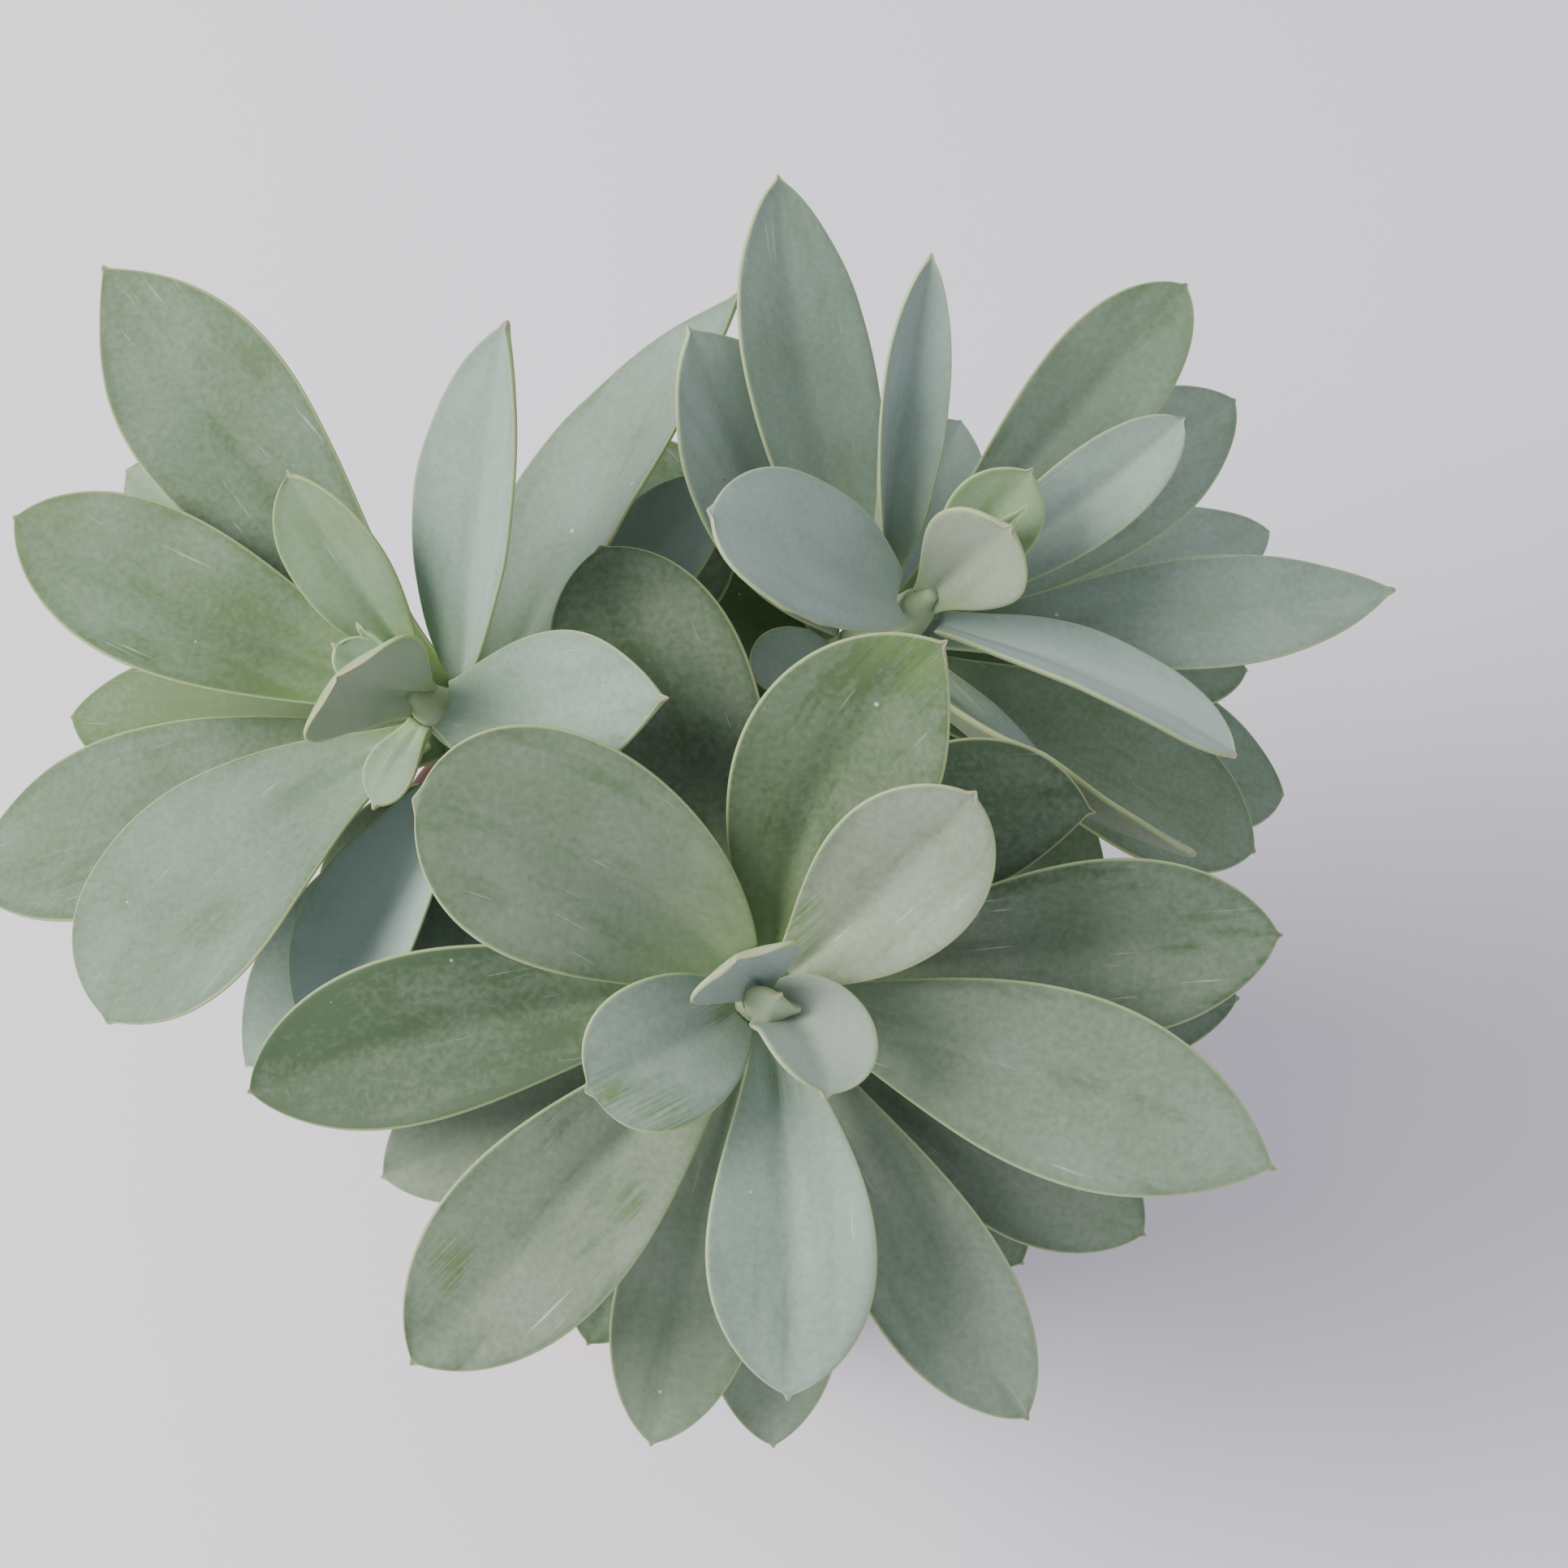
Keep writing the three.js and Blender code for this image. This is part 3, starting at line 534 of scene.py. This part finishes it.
# One leaf: a grid for its upper face and a copy under it, joined round the margin, and every
# point then placed by the leaf's own measures.
def leafPiece(name, head, leaf, number, node):
    leaf = {**growth, "cool": head["cool"], "yellow": head["yellow"], **leaf}
    rows = midribRows(head, leaf)
    looks = ("bloom", "yellow", "scuff", "blush", "cool")
    bm = bmesh.new()
    uv = bm.loops.layers.uv.new("blade")
    shares = {
        which: bm.verts.layers.float.new(which)
        for which in ("across", "along", "underside", "fromEdge", "rub", *looks)
    }
    bmesh.ops.create_grid(bm, x_segments=leaf["columns"], y_segments=leaf["rows"], size=0.5)
    for v in bm.verts:
        v[shares["across"]] = 2 * v.co.x
        v[shares["along"]] = v.co.y + 0.5
    copied = bmesh.ops.duplicate(bm, geom=bm.verts[:] + bm.edges[:] + bm.faces[:])["geom"]
    for v in [e for e in copied if isinstance(e, bmesh.types.BMVert)]:
        v[shares["underside"]] = 1
        v.co.z = -0.1
    bmesh.ops.bridge_loops(bm, edges=[e for e in bm.edges if e.is_boundary])
    bmesh.ops.recalc_face_normals(bm, faces=bm.faces[:])

    seed = Vector((number * 7.3, number * 3.1, len(name) * 5.7))
    for v in bm.verts:
        across, under = v[shares["across"]], v[shares["underside"]]
        t, beyond, centre, side, normal = rows[round(v[shares["along"]] * leaf["rows"])]
        half = max(halfWidth(leaf, t), leaf["leastHalf"]) * (1 - beyond) + leaf["mucroHalf"] * beyond
        for margin, where in leaf.get("teeth", ()):
            if margin * across > 0.99:
                away = (t - where) * leaf["long"] / leaf["toothLength"]
                half += leaf["tooth"] * math.exp(-(away ** 2))
        thins = 1 - leaf["tipThins"] * beyond
        edge = leaf["edge"] * (1 - leaf["edgeThins"] * t) * thins
        middle = leaf["middle"] * (1 - leaf["middleThins"] * t * t) * thins
        thick = edge + (max(edge, middle) - edge) * (1 - across * across)
        cup = leaf["cup"] * (1.5 - t) * half
        height = cup * abs(across) ** leaf["cupCurve"] + max(edge, middle) / 2
        groove = math.exp(-((across / leaf["channelWide"]) ** 2)) * (1 - t * t) * min(1, 8 * t)
        height -= leaf["channel"] * groove + (thick if under else 0)
        rate = leaf["waveRate"]
        far = Vector((across * half * rate, t * leaf["long"] * rate, 0)) + seed
        bend = leaf["unevenness"] * noise.noise(far) * min(1, 5 * t)
        curl = leaf["wave"] * abs(across) ** 3 * noise.noise(far * 1.8 + Vector((across, 0, 9)))
        height += bend + curl * min(1, 3 * t)
        v.co = (centre + side * half * across + normal * height) * mm
        v[shares["fromEdge"]] = half * (1 - abs(across))
        v[shares["along"]] = t if beyond == 0 else 1
        for beside, where, reach in leaf.get("rubs", ()):
            away = math.hypot((across - beside) * half, (t - where) * leaf["long"]) / reach
            v[shares["rub"]] += math.exp(-away * away)
        for which in looks:
            v[shares[which]] = leaf[which]
    for face in bm.faces:
        for loop in face.loops:
            along = loop.vert[shares["along"]]
            wide = loop.vert[shares["across"]] * halfWidth(leaf, min(0.99, along))
            loop[uv].uv = ((wide + 31 * number) / 100, along * leaf["long"] / 100)
    piece = finishPiece(bm, name, leafSkin, node)
    rounding = piece.modifiers.new("rounding", "SUBSURF")
    rounding.levels = rounding.render_levels = 1


# The leaves fused with a stem are smaller or hidden, so they take fewer rows.
for side, head in heads.items():
    for i, leaf in enumerate(head["leaves"], 1):
        leafPiece(f"{side}Leaf{i:02d}", head, leaf, i, f"leaf_{side}_{i:02d}")
    for i, leaf in enumerate(head["bud"] + head["skirt"], 1):
        small = {"columns": 12, "rows": 24, **leaf}
        kind = "Bud" if i <= len(head["bud"]) else "Skirt"
        leafPiece(f"{side}{kind}{i}", head, small, 40 + i, f"stem_{side}")
print("leaves made")


stemLook = {
    "young": ("#7f9a70", "#a3b894"),
    "old": ("#6f5f48", "#a2937a"),
    "greenFrom": 88,
    "greenTo": 135,
    "patchSize": 5,
    "corkSize": 1.2,
}


# Succulent stem: pale green and waxy near the leaves, brown and corky lower down.
def stemMaterial(name, look):
    m = newMaterial(name)
    place = addNode(m, "TexCoord", {}, "Object")
    height = addNode(m, "SeparateXYZ", {"Vector": place}, "Z")
    patches = {"Vector": place, "Scale": 1 / (look["patchSize"] * mm), "Detail": 4.0}
    young = {0: addNode(m, "TexNoise", patches), 6: look["young"][0], 7: look["young"][1]}
    cork = addNode(m, "TexNoise", {**patches, "Scale": 1 / (look["corkSize"] * mm)})
    old = {0: cork, 6: look["old"][0], 7: look["old"][1]}
    green = addNode(m, "MapRange", {
        "Value": height, "From Min": look["greenFrom"] * mm, "From Max": look["greenTo"] * mm,
    })
    shade = addNode(m, "Mix", {
        0: green,
        6: addNode(m, "Mix", old, 2, data_type="RGBA"),
        7: addNode(m, "Mix", young, 2, data_type="RGBA"),
    }, 2, data_type="RGBA")
    bump = addNode(m, "Bump", {"Height": cork, "Strength": 0.5, "Distance": 0.3 * mm})
    shader = addNode(m, "BsdfPrincipled", {
        "Base Color": shade, "Normal": bump, "Roughness": 0.72, "Subsurface Weight": 0.05,
    })
    addNode(m, "OutputMaterial", {"Surface": shader})
    return m


corkyStem = stemMaterial("corkyStemSkin", stemLook)


def stemPath(head):
    at, up = headFrame(head)[:2]
    foot = Vector((*head["foot"], stem["soilTop"] - stem["socket"]))
    below = Vector((*head["foot"], stem["soilTop"]))
    bend = at - up * stem["straight"]
    above = bend - up * stem["bend"]
    points = []
    for i in range(stem["bendSteps"] + 1):
        t = i / stem["bendSteps"]
        weights = ((1 - t) ** 3, 3 * t * (1 - t) ** 2, 3 * t * t * (1 - t), t ** 3)
        point = Vector((0, 0, 0))
        for weight, corner in zip(weights, (foot, below, above, bend)):
            point += corner * weight
        points.append(point)
    steps = stem["straightSteps"]
    points.extend(bend.lerp(at, i / steps) for i in range(1, steps + 1))
    return points


# evenly spaced places along the path, each with its heading, and the path's length
def alongPath(points, count):
    lengths = [0]
    for a, b in zip(points, points[1:]):
        lengths.append(lengths[-1] + (b - a).length)
    placed, j = [], 0
    for i in range(count + 1):
        wanted = lengths[-1] * i / count
        while j < len(points) - 2 and lengths[j + 1] < wanted:
            j += 1
        share = (wanted - lengths[j]) / (lengths[j + 1] - lengths[j])
        placed.append((points[j].lerp(points[j + 1], share), (points[j + 1] - points[j]).normalized()))
    return placed, lengths[-1]


# the stem, ringed by the scars of the leaves that it has dropped
def stemPiece(name, head, node):
    placed, length = alongPath(stemPath(head), stem["rows"])
    bm = bmesh.new()
    bmesh.ops.create_grid(bm, x_segments=stem["columns"], y_segments=stem["rows"], size=0.5)
    for v in bm.verts:
        angle, row = 2 * math.pi * (v.co.x + 0.5), round((v.co.y + 0.5) * stem["rows"])
        centre, ahead = placed[row]
        side = Vector((0, 1, 0)).cross(ahead).normalized()
        other = ahead.cross(side)
        low = length * (1 - row / stem["rows"])
        radius = stemRadius(low) - stem["inside"]
        if low > stem["scarsFrom"]:
            spiral = low / stem["scarApart"] + angle / math.pi
            radius += stem["scarHeight"] * max(0, math.cos(2 * math.pi * spiral)) ** 6
        if low < stem["point"]:
            radius += (stem["pointRadius"] - radius) * (1 - low / stem["point"])
        around = Vector((math.cos(angle), math.sin(angle), low / stem["lumpSize"]))
        radius += stem["lumps"] * noise.noise(around)
        v.co = (centre + (side * math.cos(angle) + other * math.sin(angle)) * radius) * mm
    bmesh.ops.remove_doubles(bm, verts=bm.verts[:], dist=0.01 * mm)
    bmesh.ops.holes_fill(bm, edges=[e for e in bm.edges if e.is_boundary], sides=0)
    bmesh.ops.recalc_face_normals(bm, faces=bm.faces[:])
    piece = finishPiece(bm, name, corkyStem, node)


for side, head in heads.items():
    stemPiece(f"{side}Stem", head, f"stem_{side}")
print("stems made")


pot = {
    "height": 94,
    "footRadius": 37,
    "neckRadius": 47.5,
    "collarRadius": 52,
    "rimRadius": 55,
    "collarHeight": 24,
    "wall": 5,
    "floor": 8,
    "innerFoot": 34,
    "cove": 3,
    "edge": 1.5,
    "rimFall": 2,  # how far the rim's outer edge slopes down
    "rimSlope": 0.5,
    "bevel": 1.1,
    "bevelFrom": 20,  # the angle between faces from which an edge is rounded
    "sides": 120,
    "drains": {"count": 3, "radius": 4, "ring": 19, "sides": 24},
    "wobble": 0.12,
    "wobbleRate": 60,
    "clay": ("#76584a", "#937260"),
    "salts": "#b9a798",
    "saltsUpTo": 60,
    "saltsFrom": (0.3, 0.62),
    "saltStrength": 0.7,
    "patchSize": 22,
    "saltSize": 9,
    "grainSize": 0.8,
    "ringSize": 12,
}


# Unglazed brown clay, thrown and fired: dusty, with faint turning marks and a bloom of pale
# mineral salts where water has dried through it.
def clayMaterial(name):
    m = newMaterial(name)
    place = addNode(m, "TexCoord", {}, "Object")
    height = addNode(m, "SeparateXYZ", {"Vector": place}, "Z")
    patches, salty, grain = (
        addNode(m, "TexNoise", {"Vector": place, "Scale": 1 / (pot[size] * mm), "Detail": 4.0})
        for size in ("patchSize", "saltSize", "grainSize")
    )
    body = addNode(
        m, "Mix", {0: patches, 6: pot["clay"][0], 7: pot["clay"][1]}, 2, data_type="RGBA",
    )
    low = addNode(m, "MapRange", {"Value": height, "From Min": pot["saltsUpTo"] * mm, "From Max": 0.0})
    damp = addNode(m, "Math", {0: low, 1: salty}, operation="MULTIPLY")
    salts = addNode(m, "MapRange", {
        "Value": damp, "From Min": pot["saltsFrom"][0], "From Max": pot["saltsFrom"][1],
        "To Max": pot["saltStrength"],
    })
    shade = addNode(m, "Mix", {0: salts, 6: body, 7: pot["salts"]}, 2, data_type="RGBA")
    rings = addNode(
        m, "TexWave", {"Vector": place, "Scale": 1 / (pot["ringSize"] * mm), "Distortion": 1.5}, "Fac",
        bands_direction="Z",
    )
    relief = addNode(m, "Math", {0: rings, 1: 0.3, 2: grain}, operation="MULTIPLY_ADD")
    bump = addNode(m, "Bump", {"Height": relief, "Strength": 0.4, "Distance": 0.15 * mm})
    shader = addNode(m, "BsdfPrincipled", {"Base Color": shade, "Normal": bump, "Roughness": 0.88})
    addNode(m, "OutputMaterial", {"Surface": shader})
    return m


def spunProfile(profile, steps):
    bm = bmesh.new()
    verts = [bm.verts.new((x * mm, 0, z * mm)) for x, z in profile]
    for a, b in zip(verts, verts[1:]):
        bm.edges.new((a, b))
    bmesh.ops.spin(
        bm, geom=bm.verts[:] + bm.edges[:], cent=(0, 0, 0), axis=(0, 0, 1), angle=2 * math.pi,
        steps=steps, use_merge=True,
    )
    bmesh.ops.remove_doubles(bm, verts=bm.verts[:], dist=0.01 * mm)
    bmesh.ops.recalc_face_normals(bm, faces=bm.faces[:])
    return bm


# cuts the second shape out of the piece for good
def cutOut(piece, bm):
    mesh = bpy.data.meshes.new("cutter")
    bm.to_mesh(mesh)
    bm.free()
    cutter = bpy.data.objects.new("cutter", mesh)
    bpy.context.scene.collection.objects.link(cutter)
    cut = piece.modifiers.new("cut", "BOOLEAN")
    cut.operation, cut.solver, cut.object = "DIFFERENCE", "EXACT", cutter
    evaluated = piece.evaluated_get(bpy.context.evaluated_depsgraph_get())
    finished = bpy.data.meshes.new_from_object(evaluated)
    piece.modifiers.clear()
    piece.data = finished
    bpy.data.objects.remove(cutter)


def potPiece(name):
    step = pot["height"] - pot["collarHeight"]
    slope = pot["rimSlope"]
    bm = spunProfile([
        (0, 0),
        (pot["footRadius"], 0),
        (pot["neckRadius"] + slope, step),
        (pot["collarRadius"], step),
        (pot["rimRadius"], pot["height"] - pot["rimFall"]),
        (pot["rimRadius"] - slope, pot["height"]),
        (pot["rimRadius"] - pot["wall"] - slope, pot["height"]),
        (pot["neckRadius"] - pot["wall"], step),
        (pot["innerFoot"], pot["floor"] + pot["cove"]),
        (pot["innerFoot"] - pot["cove"], pot["floor"]),
        (0, pot["floor"]),
    ], pot["sides"])
    flat = math.radians(pot["bevelFrom"])
    sharp = [e for e in bm.edges if e.is_manifold and e.calc_face_angle() > flat]
    bmesh.ops.bevel(
        bm, geom=sharp, offset=pot["bevel"] * mm, segments=3, profile=0.5, affect="EDGES", material=-1,
    )
    for v in bm.verts:
        if v.co.z > 0.5 * mm:
            out = Vector((v.co.x, v.co.y, 0)).normalized()
            v.co += out * noise.noise(v.co * pot["wobbleRate"]) * pot["wobble"] * mm
    piece = finishPiece(bm, name, clayMaterial("firedBrownClay"), "pot")
    holes, drains = bmesh.new(), pot["drains"]
    for i in range(drains["count"]):
        angle = 2 * math.pi * i / drains["count"] + math.pi / 2
        place = Vector((math.cos(angle), math.sin(angle), 0)) * drains["ring"] * mm
        bmesh.ops.create_cone(
            holes, cap_ends=True, segments=drains["sides"], radius1=drains["radius"] * mm,
            radius2=drains["radius"] * mm, depth=3 * pot["floor"] * mm, matrix=Matrix.Translation(place),
        )
    cutOut(piece, holes)


potPiece("clayPot")
print("pot made")


soil = {
    "top": 84,
    "lump": 0.75,
    "crumb": 0.7,
    "crumbApart": 2.2,
    "crumbSize": 2.5,
    "fill": 0.55,  # how far up the widening collar's wall the soil's edge lies
    "gap": 0.8,
    "rings": 46,
    "sides": 120,
    "mix": ("#1d1511", "#5c4636"),
    "spread": 44,
    "besideStem": 2,
    "grainSizes": (0.6, 1.4),
    "grainWidths": (0.5, 0.9),
    "grainHeights": (0.4, 0.8),
    "grainLift": 0.15,
    "grainNoise": 1.5,
    "grains": {
        "perlite": {"count": 90, "size": 1.3, "colours": ("#8a8378", "#e6e3dc"), "shake": 0.1},
        "bark": {"count": 170, "size": 2.0, "colours": ("#2e241c", "#5a3d29"), "shake": 0.16},
        "grit": {"count": 110, "size": 1.2, "colours": ("#6f695f", "#8d857a"), "shake": 0.1},
    },
}


# Peat and composted bark, dark and crumbly, or one of the grains that lie on it: puffed white
# perlite, chips of bark and grey grit, all dusty and matt.
def crumbMaterial(name, colours, size):
    m = newMaterial(name)
    place = addNode(m, "TexCoord", {}, "Object")
    crumbs = addNode(
        m, "TexNoise", {"Vector": place, "Scale": 1 / (size * mm), "Detail": 6.0, "Roughness": 0.7},
    )
    shade = addNode(m, "Mix", {0: crumbs, 6: colours[0], 7: colours[1]}, 2, data_type="RGBA")
    bump = addNode(m, "Bump", {"Height": crumbs, "Strength": 0.8, "Distance": 0.4 * mm})
    shader = addNode(m, "BsdfPrincipled", {"Base Color": shade, "Normal": bump, "Roughness": 0.95})
    addNode(m, "OutputMaterial", {"Surface": shader})
    return m


# the same broad waves as the solid's, with crumbs on them
def soilHeight(x, y):
    lumps = math.sin(0.31 * x + 1.1) * math.cos(0.27 * y) + 0.7 * math.sin(0.63 * y + 0.4 * x)
    crumbs = noise.noise(Vector((x, y, 0)) / soil["crumbApart"])
    return soil["top"] + soil["lump"] * lumps + crumbs * soil["crumb"]


def soilPiece(name):
    step = pot["height"] - pot["collarHeight"]
    low = pot["floor"] + pot["cove"]
    middle = pot["neckRadius"] - pot["wall"]
    top = middle + soil["fill"] * (pot["rimRadius"] - pot["wall"] - pot["edge"] - middle)
    inset = soil["gap"]
    surface = [((top - inset) * i / soil["rings"], soil["top"]) for i in range(soil["rings"] + 1)]
    bm = spunProfile([
        *surface,
        (middle - inset, step),
        (pot["innerFoot"] - inset, low),
        (pot["innerFoot"] - pot["cove"] - inset, pot["floor"] + inset),
        (0, pot["floor"] + inset),
    ], soil["sides"])
    for v in bm.verts:
        if v.co.z > (soil["top"] - 0.5) * mm:
            v.co.z = soilHeight(v.co.x / mm, v.co.y / mm) * mm
    piece = finishPiece(bm, name, crumbMaterial("dampPeatMix", soil["mix"], soil["crumbSize"]), "soil")


def grainsPiece(name, kind, chance):
    bm = bmesh.new()
    placed = 0
    while placed < kind["count"]:
        angle, far = chance.uniform(0, 2 * math.pi), soil["spread"] * math.sqrt(chance.random())
        x, y = far * math.cos(angle), far * math.sin(angle)
        size = kind["size"] * chance.uniform(*soil["grainSizes"])
        clear = size + stem["radius"] + soil["besideStem"]
        if any(math.hypot(x - head["foot"][0], y - head["foot"][1]) < clear for head in heads.values()):
            continue
        turned = Matrix.Rotation(chance.uniform(0, 6.3), 4, "Z") @ Matrix.Rotation(chance.random(), 4, "X")
        wide, high = chance.uniform(*soil["grainWidths"]), chance.uniform(*soil["grainHeights"])
        flat = Matrix.Diagonal((1, wide, high, 1))
        place = Matrix.Translation(Vector((x, y, soilHeight(x, y) + size * soil["grainLift"])) * mm)
        made = bmesh.ops.create_icosphere(
            bm, subdivisions=2, radius=size * mm, matrix=place @ turned @ flat,
        )["verts"]
        for v in made:
            v.co += Vector([chance.uniform(-1, 1) for _ in range(3)]) * kind["shake"] * size * mm
        placed += 1
    dusty = crumbMaterial(name + "Dusty", kind["colours"], soil["grainNoise"])
    piece = finishPiece(bm, name, dusty, smooth=False)


soilPiece("pottingMix")
chance = random.Random(7)
for kind, settings in soil["grains"].items():
    grainsPiece(kind + "Grains", settings, chance)
print("soil made")


studio = {
    "floor": "#e2e0e9",
    "floorSize": 3,  # metres, as are the lights' places and sizes
    "sky": "#e6e7ef",
    "skyStrength": 0.93,
    "key": {"place": (-0.8, -0.05, 0.9), "size": 0.8, "power": 23, "colour": "#fffaf2"},
    "fill": {"place": (0.9, -0.5, 0.8), "size": 1.2, "power": 1, "colour": "#eef2ff"},
    "target": (11, 1, 150),
    "distance": 380,
    "elevation": 65,
    "lens": 65,
    "sensor": 36,
}


# the pale, matt backdrop that the plant stands on
def floorPiece():
    m = newMaterial("paleBackdropPaper")
    shader = addNode(m, "BsdfPrincipled", {"Base Color": studio["floor"], "Roughness": 0.9})
    addNode(m, "OutputMaterial", {"Surface": shader})
    bm = bmesh.new()
    bmesh.ops.create_grid(bm, x_segments=2, y_segments=2, size=studio["floorSize"])
    floor = finishPiece(bm, "floor", m)
    floor.parent = None


def addLight(name, settings):
    data = bpy.data.lights.new(name, "AREA")
    data.shape, data.size = "DISK", settings["size"]
    data.energy = settings["power"]
    data.color = hexColour(settings["colour"])[:3]
    light = bpy.data.objects.new(name, data)
    light.location = settings["place"]
    aim = Vector(studio["target"]) * mm - light.location
    light.rotation_euler = aim.to_track_quat("-Z", "Y").to_euler()
    bpy.context.scene.collection.objects.link(light)


def addCamera():
    data = bpy.data.cameras.new("camera")
    data.lens, data.sensor_width = studio["lens"], studio["sensor"]
    camera = bpy.data.objects.new("camera", data)
    rise = math.radians(studio["elevation"])
    back = Vector((0, -math.cos(rise), math.sin(rise)))
    camera.location = (Vector(studio["target"]) + back * studio["distance"]) * mm
    camera.rotation_euler = (-back).to_track_quat("-Z", "Y").to_euler()
    bpy.context.scene.collection.objects.link(camera)
    bpy.context.scene.camera = camera


floorPiece()
world = bpy.data.worlds.new("studio")
bpy.context.scene.world = world
world.use_nodes = True
sky = world.node_tree.nodes["Background"]
sky.inputs["Color"].default_value = hexColour(studio["sky"])
sky.inputs["Strength"].default_value = studio["skyStrength"]
addLight("key", studio["key"])
addLight("fill", studio["fill"])
addCamera()
print("studio ready")
